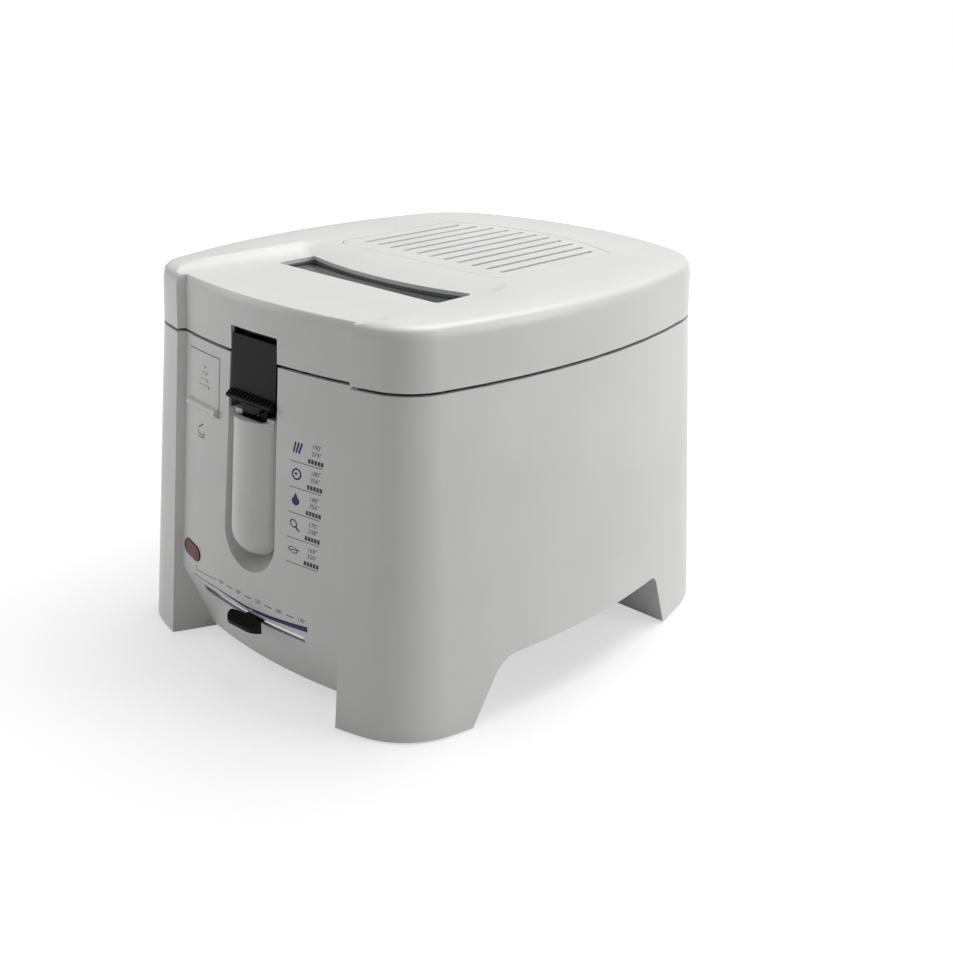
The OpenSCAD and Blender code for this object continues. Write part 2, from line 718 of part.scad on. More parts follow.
module lid_liner() color([0.85, 0.85, 0.84]) {
  floor_z = parting_h + 2;
  difference() {
    union() {
      translate([0, 0, floor_z]) linear_extrude(2) rounded_rect(118, -127, 134, 52);
      // window tunnel and filter box
      translate([0, 0, floor_z]) linear_extrude(pane_z - floor_z - 0.6)
        rounded_rect(window_half + 3.6, window_front - 3.6, window_rear + 3.6, 4);
      translate([0, 0, floor_z]) linear_extrude(28.5) rounded_rect(65, -17, 90, 7);
      // channel for the gasket
      translate([0, 0, parting_h - 4]) linear_extrude(7) difference() {
        bowl_plan(6.4);
        bowl_plan(0.6);
      }
    }
    translate([0, 0, floor_z - 1]) linear_extrude(40)
      rounded_rect(window_half + 2, window_front - 2, window_rear + 2, 3);
    translate([0, 0, floor_z + 2]) linear_extrude(40) rounded_rect(63.2, -15.2, 88.2, 5.5);
    for (x = [-54:12:54]) for (y = [-6:12:78])
      translate([x, y, floor_z - 1]) cylinder(r = 2.6, h = 5, $fn = 24);
    // way through for the handle bracket
    box(-28, 28, -160, -97, parting_h - 20, parting_h + 40);
    translate([0, 0, parting_h - 10]) linear_extrude(9) difference() { bowl_plan(4.9); bowl_plan(2.1); }
    at_liner_screws() cylinder(d = 3.4, h = 16, $fn = 24);
  }
}

module liner_screws() color(steel)
  at_liner_screws() translate([0, 0, 1.9]) screw(2.6, 12);

module lid_gasket() color([0.35, 0.35, 0.36]) difference() {
  union() {
    translate([0, 0, parting_h - 7.9]) linear_extrude(6.6) difference() { bowl_plan(4.7); bowl_plan(2.3); }
    translate([0, 0, parting_h - 8.1]) linear_extrude(1.6) difference() { bowl_plan(6); bowl_plan(1); }
  }
  box(-29, 29, -160, -90, parting_h - 20, parting_h + 40);
}

module window_seal() color(black) translate([0, 0, pane_z + 2.2]) linear_extrude(1) difference() {
  window_plan(2.5, 4);
  window_plan(0, 3);
}

module window_pane() color([0.4, 0.43, 0.45, 0.6]) translate([0, 0, pane_z])
  linear_extrude(2.1) window_plan(2.5, 4);

module filter_cover() color(white) difference() {
  translate([0, 0, parting_h + lid_h - cover_t]) linear_extrude(cover_t) cover_plan(0);
  translate([0, 0, parting_h + lid_h - cover_t - 1]) linear_extrude(cover_t + 2)
    for (i = [0:slot_count - 1]) {
      x = (i - (slot_count - 1) / 2) * slot_pitch;
      far = cover_rear - 157 + sqrt(150 * 150 - x * x) - 0.0009 * x * x;
      polygon(filleted(
        [[x - slot_w / 2, -12], [x + slot_w / 2, -12], [x + slot_w / 2, far], [x - slot_w / 2, far]],
        [1.5, 1.5, 1.5, 1.5], 3));
    }
}

module filter_pad() color([0.75, 0.75, 0.72]) translate([0, 0, parting_h + 6])
  linear_extrude(14) rounded_rect(62.4, -14.4, 87.4, 5);

// ---------- lid-open button and latch ----------

module lid_button() color(white) on_panel() translate([button_x, 0, 0]) {
  intersection() {
    button_plate(0);
    translate([-button_x, 0, 0]) rotate([draft, 0, 0]) translate([0, -panel_y, -parting_h]) difference() {
      body_form(-0.2, 60, body_top);
      body_form(2.4, 59, body_top + 1);
    }
  }
  // ridge for the fingertip along the lower edge
  translate([0, 3.2, -plate_z - button_h / 2 + 2.4]) rotate([0, 0, -8])
    cyl_x(2.4, -button_w / 2 + 0.5, button_w / 2 - 0.5);
  // plunger with a round tip
  translate([0, 0, -button_z]) box(-5, 5, 4, plunger_tip - 2, -2, 2);
  translate([0, plunger_tip - 2, -button_z]) cyl_x(2, -5, 5);
  // raised sign: four bars that widen downwards
  for (i = [0:3]) translate([0, 0, -16.5 - 4 * i]) rotate([0, 0, -8])
    box(-1 - 1.6 * i, 1 + 1.6 * i, 2.8, 4.6, -0.7, 0.7);
}

module button_spring() color(steel) on_panel() for (s = [-1, 1])
  translate([button_x + s * 11.5, 9.6, -button_z]) rotate([-90, 0, 0]) coil(2.6, 0.7, 6.9, 4, 8, 6);

// Rocker: the button pushes its arm back, so the nose lets go of the lid's catch
module latch_hook() color(white) translate([latch_x, latch_y, latch_z]) difference() {
  union() {
    cyl_x(5, -6, 6);
    rotate([90, 0, 90]) translate([0, 0, -6]) linear_extrude(12) polygon(filleted(
      [[-3, 0], [3, 0], [3, 44], [-7.5, 44], [-7.5, 40], [-3, 38.5]], [0.4, 0.4, 2, 1, 0.8, 1.5], 4));
    // rib along the back of the arm
    box(-1.2, 1.2, 2.5, 6, 4, 36);
  }
  cyl_x(2.05, -10, 10);
}

module latch_pin() color(steel) translate([latch_x, latch_y, latch_z]) cyl_x(2, -12, 12);

// ---------- basket ----------

module basket_plan(grow)
  rounded_rect(basket_half + grow, basket_front - grow, basket_rear + grow, basket_r + grow);

module basket_hoop(grow, t) difference() { basket_plan(grow); basket_plan(grow - t); }

module basket_mesh() color(steel) {
  pitch = 12;
  bar = 1.4;
  // floor grid
  translate([0, 0, basket_floor]) linear_extrude(bar) intersection() {
    basket_plan(-1);
    union() {
      for (x = [-84:pitch:84]) translate([x - bar / 2, -120]) square([bar, 240]);
      for (y = [-108:pitch:108]) translate([-100, y - bar / 2]) square([200, bar]);
      basket_hoop(-1, 3);
    }
  }
  // side hoops
  for (z = [pitch:pitch:basket_h - 6])
    translate([0, 0, basket_floor + z]) linear_extrude(bar) basket_hoop(-1, bar);
  // uprights
  translate([0, 0, basket_floor]) linear_extrude(basket_h - 4) {
    straight_x = basket_half - basket_r;
    for (x = [-straight_x + 2:pitch:straight_x]) for (y = [basket_front + 1.6, basket_rear - 1.6])
      translate([x, y]) square(bar, center = true);
    for (y = [basket_front + basket_r:pitch:basket_rear - basket_r + 2]) for (s = [-1, 1])
      translate([s * (basket_half - 1.6), y]) square(bar, center = true);
    for (sx = [-1, 1]) for (sy = [0, 1]) for (a = [15:20:75])
      translate([sx * (basket_half - basket_r), sy ? basket_rear - basket_r : basket_front + basket_r])
        rotate([0, 0, sx > 0 ? (sy ? a : -a) : (sy ? 180 - a : 180 + a)])
          translate([basket_r - 1.6, 0]) square(bar, center = true);
  }
}

// Rounded-rectangle frame bent from round wire
module wire_frame(half, y0, y1, r, d) {
  for (s = [-1, 1]) {
    translate([s * half, y0 + r, 0]) rotate([-90, 0, 0]) cylinder(d = d, h = y1 - y0 - 2 * r, $fn = 24);
    for (y = [y0, y1]) translate([0, y, 0]) rotate([0, 90, 0])
      cylinder(d = d, h = 2 * (half - r), center = true, $fn = 24);
  }
  for (sx = [0, 1]) for (sy = [0, 1])
    translate([(sx ? 1 : -1) * (half - r), sy ? y1 - r : y0 + r, 0])
      rotate([0, 0, sx ? (sy ? 0 : -90) : (sy ? 90 : 180)])
        rotate_extrude(angle = 90) translate([r, 0]) circle(d = d, $fn = 24);
}

module basket_frame() color(steel) {
  translate([0, 0, basket_top])
    wire_frame(basket_half - 1.7, basket_front + 1.7, basket_rear - 1.7, basket_r - 1.7, 3.4);
}

pivot_y = panel_y + pivot_in * cos(draft) - pivot_drop * sin(draft);
pivot_z = parting_h - pivot_in * sin(draft) - pivot_drop * cos(draft);

module handle_bracket() color(steel) difference() {
  union() {
    for (s = [-1, 1]) {
      x = s * (notch_half + bracket_wire / 2 + 0.3);
      wire([[x, basket_front - 2.4, basket_top - 26], [x, basket_front - 2.4, parting_h - 5],
        [x, -132, parting_h - 5], [x, pivot_y, pivot_z]], bracket_wire);
      translate([x, pivot_y, pivot_z]) cyl_x(4, -bracket_wire / 2, bracket_wire / 2);
    }
    // cross bars that tie both wires to the basket
    for (z = [basket_top - 24, basket_top - 8]) translate([0, basket_front - 2.4, z])
      cyl_x(1.6, -notch_half - 3, notch_half + 3);
  }
  translate([0, pivot_y, pivot_z]) cyl_x(pin_r, -40, 40);
}

module handle_pin() color(steel) translate([0, pivot_y, pivot_z]) cyl_x(pin_r, -25.6, 25.6);

// ---------- handle ----------

module handle_core() color(black) on_panel() difference() {
  union() {
    // cover plate with a rounded upper edge
    box(-core_half, core_half, 0.8, 4.3, -28, plate_top);
    translate([0, 2.55, plate_top]) cyl_x(1.75, -core_half, core_half);
    // hub and its web
    translate([0, pivot_in, -pivot_drop]) cyl_x(hub_r, -17, 17);
    box(-15, 15, 4, pivot_in, -pivot_drop - 5, -pivot_drop + 5);
    // neck and the tang inside the grip
    box(-neck_half, neck_half, 2.5, 9, -40, -20);
    box(-7.8, 7.8, -1, 6, -88, -37.2);
    for (z = [-84, -46]) translate([0, 2.5, z]) cyl_y(4, 0, 3.5);
  }
  translate([0, pivot_in, -pivot_drop]) cyl_x(pin_r + 0.05, -40, 40);
  // window of the slider's tongue
  box(-6.3, 6.3, 0, 12, -36.3, -24);
  for (z = [-84, -46]) translate([0, 0, z]) cyl_y(1.3, -2, 12);
}

module handle_grip() color(white) on_panel() difference() {
  union() {
    intersection() {
      union() {
        translate([0, 11, -grip_bottom + grip_r]) {
          cylinder(r = grip_r, h = grip_bottom - grip_top - grip_r);
          sphere(r = grip_r);
        }
      }
      box(-30, 30, -12, grip_back, -130, 0);
    }
    // ears beside the neck
    for (s = [-1, 1]) translate([s * (neck_half + 3.4), 0, 0]) box(-3, 3, 2.4, 7.8, -40, -33.5);
  }
  box(-8, 8, -1.2, 12, -88.3, -30);
  box(-neck_half - 0.3, neck_half + 0.3, -1.4, 12, -40.5, -30);
}

module grip_screws() color(steel) on_panel() for (z = [-84, -46])
  translate([0, 8.2, z]) rotate([90, 0, 0]) screw(2.5, 8.4);

module handle_slider() color(black) on_panel() {
  // ridge with a ribbed slope above a lip for the thumb
  rotate([90, 0, 90]) translate([0, 0, -ridge_half]) linear_extrude(2 * ridge_half) polygon([
    [0.5, -ridge_top], [0.5, -ridge_top - 6.2], [-0.6, -ridge_top - 6.2], [-3, -ridge_top - 4.6],
    [-3.4, -ridge_top - 4.2], [-3.4, -ridge_top - 3], [-3, -ridge_top - 2.6]]);
  for (x = [-16.5:3:16.5])
    translate([x, 0.1, -ridge_top]) rotate([36.6, 0, 0]) box(-0.5, 0.5, -3.9, 0, -1, 0.4);
  // apron with a round lower end, over the neck
  box(-9.5, 9.5, -0.6, 0.5, -29, -ridge_top - 1);
  intersection() {
    translate([0, 0, -22.6]) cyl_y(10.6, -0.6, 0.5);
    box(-9.5, 9.5, -1, 1, -34, -28);
  }
  // tongue through the cover plate
  box(-6, 6, 0.3, 11, -tongue_top - 6.8, -tongue_top);
}

module slider_spring() color(steel) on_panel() translate([0, 7, -35.9]) coil(2, 0.6, 3.7, 3);

// ---------- thermostat drive ----------

module thermostat_shaft() color(steel) translate([0, shaft_y, base_z + base_t + 0.6])
  cylinder(r = 3, h = thermostat_top - base_z - base_t - 4);

module at_lever() translate([0, shaft_y, 0]) rotate([0, 0, lever_rest]) children();

// Flat arm with a stiffening rib, cranked down at its front end to reach the slot
module thermostat_lever() color([0.55, 0.55, 0.56]) at_lever() difference() {
  crank = -lever_r + 30;
  union() {
    translate([0, 0, lever_z - 1]) cylinder(r = 7, h = 3.6);
    translate([0, 0, lever_z]) linear_extrude(2) polygon([[-6, 0], [6, 0], [4, crank - 1], [-4, crank - 1]]);
    box(-0.9, 0.9, crank, -6, lever_z + 1, lever_z + 4);
    box(-4, 4, crank - 2, crank, knob_z - 1, lever_z + 2);
    box(-4, 4, -lever_r + 6, crank, knob_z - 1, knob_z + 1);
  }
  translate([0, 0, lever_z - 2]) cylinder(r = 3, h = 12);
}

// Half-oval thumb tab with a neck through the slot and grip ribs on its sloping top
module thermostat_knob() color(black) at_lever() translate([0, -lever_r, knob_z]) {
  difference() {
    box(-5.2, 5.2, -9, 16, -2.1, 2.1);
    box(-4.05, 4.05, 5.9, 20, -1.05, 1.05);
  }
  difference() {
    translate([0, 0, -3.4]) linear_extrude(7.2) polygon(filleted(
      [[-15, -8.2], [-5, -6.7], [5, -6.7], [15, -8.2], [12, -14.93], [-12, -14.93]], [1.6, 3, 3, 1.6, 7, 7]));
    translate([0, -7.4, 3.8]) rotate([24, 0, 0]) box(-20, 20, -20, 0, 0, 12);
    translate([0, -8, -3.4]) rotate([-12, 0, 0]) box(-20, 20, -20, 0, -12, 0);
  }
  for (x = [-9:3:9])
    translate([x, -7.4, 3.8]) rotate([24, 0, 0]) translate([0, 0, -0.2]) cyl_y(0.5, -6.4, -1);
}

body_shell();
base_plate();
base_screws();
foot_pads();
oil_bowl();
heat_shield();
heating_element();
element_clamp();
element_nuts();
thermostat_body();
thermostat_sensor();
thermal_cutout();
terminal_block();
wiring();
cord_grommet();
indicator_lens();
indicator_lamp();
hinge_bracket();
hinge_screws();
hinge_pin();
lid_spring();
lid_shell();
lid_liner();
liner_screws();
lid_gasket();
window_pane();
window_seal();
filter_cover();
filter_pad();
lid_button();
button_spring();
latch_hook();
latch_pin();
basket_mesh();
basket_frame();
handle_bracket();
handle_pin();
handle_core();
handle_grip();
grip_screws();
handle_slider();
slider_spring();
thermostat_shaft();
thermostat_lever();
thermostat_knob();
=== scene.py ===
import bpy
import bmesh
from math import radians, sin, cos
from mathutils import Matrix, Vector
from mathutils.bvhtree import BVHTree


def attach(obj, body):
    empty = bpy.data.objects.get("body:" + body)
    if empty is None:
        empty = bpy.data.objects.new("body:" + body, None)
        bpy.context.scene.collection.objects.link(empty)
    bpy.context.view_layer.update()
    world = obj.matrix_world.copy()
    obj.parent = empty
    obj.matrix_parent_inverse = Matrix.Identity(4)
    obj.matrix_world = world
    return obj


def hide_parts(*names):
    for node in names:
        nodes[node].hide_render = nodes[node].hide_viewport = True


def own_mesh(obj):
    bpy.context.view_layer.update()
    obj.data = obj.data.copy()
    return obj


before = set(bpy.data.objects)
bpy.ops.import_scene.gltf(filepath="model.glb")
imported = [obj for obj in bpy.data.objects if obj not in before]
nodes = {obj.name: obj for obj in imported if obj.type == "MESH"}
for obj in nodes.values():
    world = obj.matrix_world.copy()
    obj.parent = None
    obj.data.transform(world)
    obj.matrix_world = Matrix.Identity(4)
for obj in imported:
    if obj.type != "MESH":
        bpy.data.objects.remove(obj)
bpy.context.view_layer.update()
mm = 0.001
print("frame loaded:", len(nodes), "nodes")


# ---- camera ----

cameraView = {
    "azimuth": 41.021, "elevation": 22.405, "roll": -1.722,  # degrees
    "distance": 798.895, "shiftAcross": 26.529, "shiftUp": -108.723,  # mm
    "aimHeight": 206.0, "lens": 45.646, "sensor": 36, "nearest": 10}  # mm


def placeCamera(view):
    a, e, r = (radians(view[k]) for k in ("azimuth", "elevation", "roll"))
    back = Vector((sin(a) * cos(e), -cos(a) * cos(e), sin(e)))
    across = Vector((cos(a), sin(a), 0))
    up = back.cross(across)
    place = (back * view["distance"] + across * view["shiftAcross"] + up * view["shiftUp"]
             + Vector((0, 0, view["aimHeight"]))) * mm
    data = bpy.data.cameras.new("camera")
    data.sensor_width = view["sensor"]
    data.lens = view["lens"]
    data.clip_start = view["nearest"] * mm
    camera = bpy.data.objects.new("camera", data)
    bpy.context.scene.collection.objects.link(camera)
    rolled = [across * cos(r) - up * sin(r), up * cos(r) + across * sin(r), back]
    camera.matrix_world = Matrix.Translation(place) @ Matrix(rolled).transposed().to_4x4()
    bpy.context.scene.camera = camera


placeCamera(cameraView)
print("camera placed")


# ---- materials ----

def linearColour(hexText, alpha=1.0):
    # sRGB hex to linear
    values = [int(hexText[i:i + 2], 16) / 255 for i in (1, 3, 5)]
    return tuple(v / 12.92 if v <= 0.04045 else ((v + 0.055) / 1.055) ** 2.4 for v in values) + (alpha,)


def addNode(tree, kind, settings=None, inputs=None, links=None):
    node = tree.nodes.new(kind)
    for key, value in (settings or {}).items():
        setattr(node, key, value)
    for key, value in (inputs or {}).items():
        node.inputs[key].default_value = value
    for key, source in (links or {}).items():
        tree.links.new(source, node.inputs[key])
    return node


def startMaterial(name, shader):
    material = bpy.data.materials.new(name)
    material.use_nodes = True
    tree = material.node_tree
    tree.nodes.clear()
    principled = addNode(tree, "ShaderNodeBsdfPrincipled", inputs=shader)
    addNode(tree, "ShaderNodeOutputMaterial", links={"Surface": principled.outputs[0]})
    place = addNode(tree, "ShaderNodeTexCoord").outputs["Object"]
    return material, tree, principled, place


grainDepth = 0.3  # height of the grain as a share of its size
rampEnds = (0.3, 0.7)  # where the drift reaches the dark and the light colour


def speckled(name, look):
    # a base colour with slow drift, a fine surface grain and a roughness that varies with it
    material, tree, principled, place = startMaterial(name, look["shader"])
    drift = addNode(tree, "ShaderNodeTexNoise", inputs={"Scale": 1 / (look["driftSize"] * mm), "Detail": 3.0},
                    links={"Vector": place})
    colours = addNode(tree, "ShaderNodeValToRGB", links={"Fac": drift.outputs[0]})
    for end, position, colour in zip(colours.color_ramp.elements, rampEnds, (look["dark"], look["light"])):
        end.position = position
        end.color = linearColour(colour)
    tree.links.new(colours.outputs[0], principled.inputs["Base Color"])
    stretch = addNode(tree, "ShaderNodeMapping", inputs={"Scale": look.get("stretch", (1, 1, 1))},
                      links={"Vector": place})
    grain = addNode(tree, "ShaderNodeTexNoise", inputs={"Scale": 1 / (look["grainSize"] * mm), "Detail": 2.0},
                    links={"Vector": stretch.outputs[0]})
    gloss = addNode(tree, "ShaderNodeMapRange",
                    inputs={"To Min": look["roughness"][0], "To Max": look["roughness"][1]},
                    links={"Value": grain.outputs[0]})
    tree.links.new(gloss.outputs[0], principled.inputs["Roughness"])
    bump = addNode(tree, "ShaderNodeBump",
                   inputs={"Strength": look["bump"], "Distance": look["grainSize"] * mm * grainDepth},
                   links={"Height": grain.outputs[0]})
    tree.links.new(bump.outputs[0], principled.inputs["Normal"])
    return material


finishes = {
    # injection-moulded polypropylene with a fine spark-eroded skin: cool white, a soft broad sheen
    "mouldedWhiteShell": {"shader": {"IOR": 1.49, "Specular IOR Level": 0.45},
                          "dark": "#DCDCDB", "light": "#E2E2E1",
                          "driftSize": 60, "grainSize": 0.9, "roughness": (0.30, 0.42), "bump": 0.10},
    # the same plastic from a polished mould, as on parts that the hand touches
    "polishedWhiteGrip": {"shader": {"IOR": 1.49, "Specular IOR Level": 0.5},
                          "dark": "#DDDDDC", "light": "#E3E3E2",
                          "driftSize": 40, "grainSize": 1.6, "roughness": (0.26, 0.33), "bump": 0.02},
    # unpolished inside of the mouldings, duller and a little greyer
    "mouldedGreyLiner": {"shader": {"IOR": 1.49}, "dark": "#CFCFCD", "light": "#D6D6D4",
                         "driftSize": 50, "grainSize": 0.8, "roughness": (0.42, 0.58), "bump": 0.14},
    # glass-filled black nylon: deep black with a dull satin sheen
    "blackNylon": {"shader": {"IOR": 1.53, "Specular IOR Level": 0.12}, "dark": "#08090A", "light": "#0F1011",
                   "driftSize": 14, "grainSize": 0.5, "roughness": (0.36, 0.48), "bump": 0.1},
    # dark grey moulded base with open texture
    "mouldedBase": {"shader": {"IOR": 1.49}, "dark": "#3A3B3D", "light": "#434446",
                    "driftSize": 30, "grainSize": 0.8, "roughness": (0.5, 0.66), "bump": 0.2},
    # silicone rubber, matt and slightly dusty
    "siliconeRubber": {"shader": {"IOR": 1.41, "Specular IOR Level": 0.3},
                       "dark": "#2C2C2E", "light": "#353537",
                       "driftSize": 9, "grainSize": 0.6, "roughness": (0.62, 0.8), "bump": 0.2},
    # translucent grey silicone round the window
    "greySilicone": {"shader": {"IOR": 1.41, "Specular IOR Level": 0.3},
                     "dark": "#7C7D7F", "light": "#888A8B",
                     "driftSize": 9, "grainSize": 0.6, "roughness": (0.5, 0.65), "bump": 0.12},
    # spun aluminium under a non-stick coat, dark with fine pale flecks
    "nonStickCoat": {"shader": {"IOR": 1.38, "Specular IOR Level": 0.6},
                     "dark": "#2A2B2D", "light": "#3B3C3E",
                     "driftSize": 1.4, "grainSize": 0.7, "roughness": (0.28, 0.42), "bump": 0.12},
    # drawn stainless wire and pins: bright, with draw lines
    "drawnStainless": {"shader": {"Metallic": 1.0}, "dark": "#B9BABB", "light": "#CDCECF",
                       "driftSize": 12, "grainSize": 0.4, "roughness": (0.16, 0.28), "bump": 0.06},
    # zinc-plated pressed steel, bluish with a faint bloom
    "zincPlatedSteel": {"shader": {"Metallic": 1.0}, "dark": "#9EA3A6", "light": "#B4B8BA",
                        "driftSize": 16, "grainSize": 0.6, "roughness": (0.28, 0.44), "bump": 0.1},
    # rolled aluminised sheet with its rolling direction along the depth
    "rolledAluminisedSheet": {"shader": {"Metallic": 1.0}, "dark": "#A3A5A6", "light": "#B7B9BA",
                              "driftSize": 25, "grainSize": 0.8, "stretch": (1, 0.06, 1),
                              "roughness": (0.3, 0.46), "bump": 0.1},
    # sheathed heating element, oxidised by heat to a brownish grey
    "oxidisedSheath": {"shader": {"Metallic": 1.0}, "dark": "#4A4541", "light": "#6A635D",
                       "driftSize": 10, "grainSize": 0.6, "roughness": (0.4, 0.6), "bump": 0.14},
    # glazed steatite of the terminal block and the thermostat
    "steatiteCeramic": {"shader": {"IOR": 1.6}, "dark": "#D8D2C2", "light": "#E2DCCD",
                        "driftSize": 12, "grainSize": 0.5, "roughness": (0.3, 0.42), "bump": 0.1},
    # glass-fibre sleeve on the leads
    "fibreSleeve": {"shader": {"IOR": 1.5}, "dark": "#8B6A48", "light": "#A37F5A",
                    "driftSize": 3, "grainSize": 0.5, "roughness": (0.6, 0.75), "bump": 0.4},
    # open-cell foam and carbon mat of the odour filter
    "carbonFoam": {"shader": {"IOR": 1.45, "Specular IOR Level": 0.2}, "dark": "#121212", "light": "#2A2A2B",
                   "driftSize": 1.6, "grainSize": 1.6, "roughness": (0.85, 0.95), "bump": 0.9},
    # screen-printed ink, thin and flat
    "navyInk": {"shader": {"IOR": 1.5, "Specular IOR Level": 0.35}, "dark": "#2B2A5E", "light": "#33326A",
                "driftSize": 5, "grainSize": 0.4, "roughness": (0.42, 0.52), "bump": 0.03},
    "greyInk": {"shader": {"IOR": 1.5, "Specular IOR Level": 0.35}, "dark": "#3E3F45", "light": "#484950",
                "driftSize": 5, "grainSize": 0.4, "roughness": (0.42, 0.52), "bump": 0.03},
    # tinted acrylic lens, moulded with fine flutes behind a glossy face
    "redAcrylicLens": {"shader": {"IOR": 1.49, "Specular IOR Level": 0.2, "Coat Weight": 0.08,
                                  "Coat Roughness": 0.1}, "dark": "#5E1812", "light": "#76231A",
                       "driftSize": 4, "grainSize": 0.8, "stretch": (1, 1, 0.05),
                       "roughness": (0.18, 0.3), "bump": 0.35},
    # small neon lamp behind the lens
    "lampGlass": {"shader": {"IOR": 1.52, "Transmission Weight": 0.6}, "dark": "#D8B7A8", "light": "#E6C8BA",
                  "driftSize": 4, "grainSize": 0.5, "roughness": (0.05, 0.12), "bump": 0.02},
    # toughened float glass with a faint grey tint and a trace of handling marks
    "floatGlass": {"shader": {"IOR": 1.52, "Transmission Weight": 1.0}, "dark": "#C2C6C6", "light": "#CCD0D0",
                   "driftSize": 30, "grainSize": 6, "roughness": (0.0, 0.05), "bump": 0.01},
}
materials = {name: speckled(name, look) for name, look in finishes.items()}
print("materials ready:", len(materials))


# ---- finish of the frame's own nodes ----

nodeFinish = {
    "mouldedWhiteShell": ["body_shell", "lid_shell", "filter_cover", "lid_button"],
    "polishedWhiteGrip": ["handle_grip", "latch_hook"],
    "mouldedGreyLiner": ["lid_liner"],
    "mouldedBase": ["base_plate"],
    "blackNylon": ["handle_core", "handle_slider", "thermostat_knob"],
    "siliconeRubber": ["foot_pads", "cord_grommet", "lid_gasket"],
    "greySilicone": ["window_seal"],
    "nonStickCoat": ["oil_bowl"],
    "drawnStainless": ["basket_mesh", "basket_frame", "handle_bracket", "handle_pin", "latch_pin",
                       "hinge_pin", "thermostat_sensor", "thermostat_shaft"],
    "zincPlatedSteel": ["base_screws", "element_clamp", "element_nuts", "hinge_bracket", "hinge_screws",
                        "lid_spring", "liner_screws", "button_spring", "grip_screws", "slider_spring",
                        "thermostat_lever", "thermal_cutout"],
    "rolledAluminisedSheet": ["heat_shield"],
    "oxidisedSheath": ["heating_element"],
    "steatiteCeramic": ["terminal_block", "thermostat_body"],
    "fibreSleeve": ["wiring"],
    "carbonFoam": ["filter_pad"],
    "redAcrylicLens": ["indicator_lens"],
    "lampGlass": ["indicator_lamp"],
    "floatGlass": ["window_pane"],
}
finishOf = {node: finish for finish, members in nodeFinish.items() for node in members}


def setMaterial(thing, finish):
    thing.data.materials.clear()
    thing.data.materials.append(materials[finish])


weldDistance = 0.00001  # m
crispAngle = radians(30)  # edges sharper than this stay crisp on a node and are rounded on a moulding

for name, node in nodes.items():
    setMaterial(node, finishOf[name])
    node.data.polygons.foreach_set("use_smooth", [True] * len(node.data.polygons))
    weld = node.modifiers.new("weld", "WELD")
    weld.merge_threshold = weldDistance
    split = node.modifiers.new("crisp edges", "EDGE_SPLIT")
    split.split_angle = crispAngle
print("frame nodes finished")


# ---- mouldings with rounded edges ----

def finishPiece(name, bm, body, finish, replacing=()):
    mesh = bpy.data.meshes.new(name)
    bm.to_mesh(mesh)
    bm.free()
    piece = bpy.data.objects.new(name, mesh)
    bpy.context.scene.collection.objects.link(piece)
    mesh.polygons.foreach_set("use_smooth", [True] * len(mesh.polygons))
    setMaterial(piece, finish)
    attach(piece, body)
    if replacing:
        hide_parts(*replacing)
    return piece


edgeRounding = {"segments": 2, "flatWithin": 0.3, "shadingWeight": 60}  # flatWithin in degrees

mouldings = {  # node: body, edge radius in mm
    "body_shell": ("housing", 0.9),
    "lid_shell": ("lid", 0.9),
    "filter_cover": ("lid", 0.5),
    "lid_button": ("lid_button", 0.4),
    "handle_core": ("handle", 0.4),
    "handle_grip": ("handle", 0.5),
    "handle_slider": ("handle_slider", 0.35),
    "thermostat_knob": ("thermostat_slider", 0.5),
    "base_plate": ("housing", 0.4),
    "foot_pads": ("housing", 0.4),
    "lid_liner": ("lid", 0.4),
}


catchTop = {"x": (-58, -42), "y": (-147, -142), "above": 241}  # mm, round the tab and over the lid's top


def sinkCatch(bm, look):
    # the tab of the latch's catch ends flush with the lid's top
    around = [v for v in bm.verts if look["x"][0] < v.co.x / mm < look["x"][1]
              and look["y"][0] < v.co.y / mm < look["y"][1]]
    high = [v for v in around if v.co.z > look["above"] * mm]
    for v in high:
        v.co = min((w for w in around if w not in high), key=lambda w: (w.co - v.co).length).co
    bmesh.ops.remove_doubles(bm, verts=bm.verts, dist=weldDistance)


def roundMoulding(name, body, radius):
    bm = bmesh.new()
    bm.from_mesh(nodes[name].data)
    bmesh.ops.remove_doubles(bm, verts=bm.verts, dist=weldDistance)
    if name == "lid_shell":
        sinkCatch(bm, catchTop)
    bmesh.ops.dissolve_limit(bm, angle_limit=radians(edgeRounding["flatWithin"]),
                             verts=bm.verts, edges=bm.edges)
    edges = [e for e in bm.edges if len(e.link_faces) == 2 and e.calc_face_angle(0) > crispAngle]
    bmesh.ops.bevel(bm, geom=edges, offset=radius * mm, offset_type="OFFSET", affect="EDGES",
                    segments=edgeRounding["segments"], profile=0.5, material=-1, clamp_overlap=True)
    bmesh.ops.triangulate(bm, faces=[f for f in bm.faces if len(f.verts) > 4])
    piece = finishPiece(name + "_moulding", bm, body, finishOf[name], [name])
    even = piece.modifiers.new("even shading", "WEIGHTED_NORMAL")
    even.weight = edgeRounding["shadingWeight"]


for name, (body, radius) in mouldings.items():
    roundMoulding(name, body, radius)
print("mouldings rounded:", len(mouldings))


# ---- springs, each a welded copy riding on its body ----

springs = {"button_spring": ("housing", "button_press"), "slider_spring": ("handle", "slider_slide")}


def shortenSpring(name, body):
    # a welded copy of the spring, with its own mesh, stands in for the node on its body
    bm = bmesh.new()
    bm.from_mesh(nodes[name].data)
    bmesh.ops.remove_doubles(bm, verts=bm.verts, dist=weldDistance)
    coil = finishPiece(name + "_coil", bm, body, finishOf[name], [name])
    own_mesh(coil)


for name, (body, joint) in springs.items():
    shortenSpring(name, body)
print("springs ready:", len(springs))


# ---- prints on the front panel ----

# places are x, and height from the parting line, in mm
panelInk = {
    "parting": 206.0, "before": -300.0,  # height of the parting line, and a plane in front of the panel
    "lift": 0.06, "slice": 3.0, "join": 0.002,  # mm
    "ringSteps": 28, "discSides": 24, "letterSteps": 3}


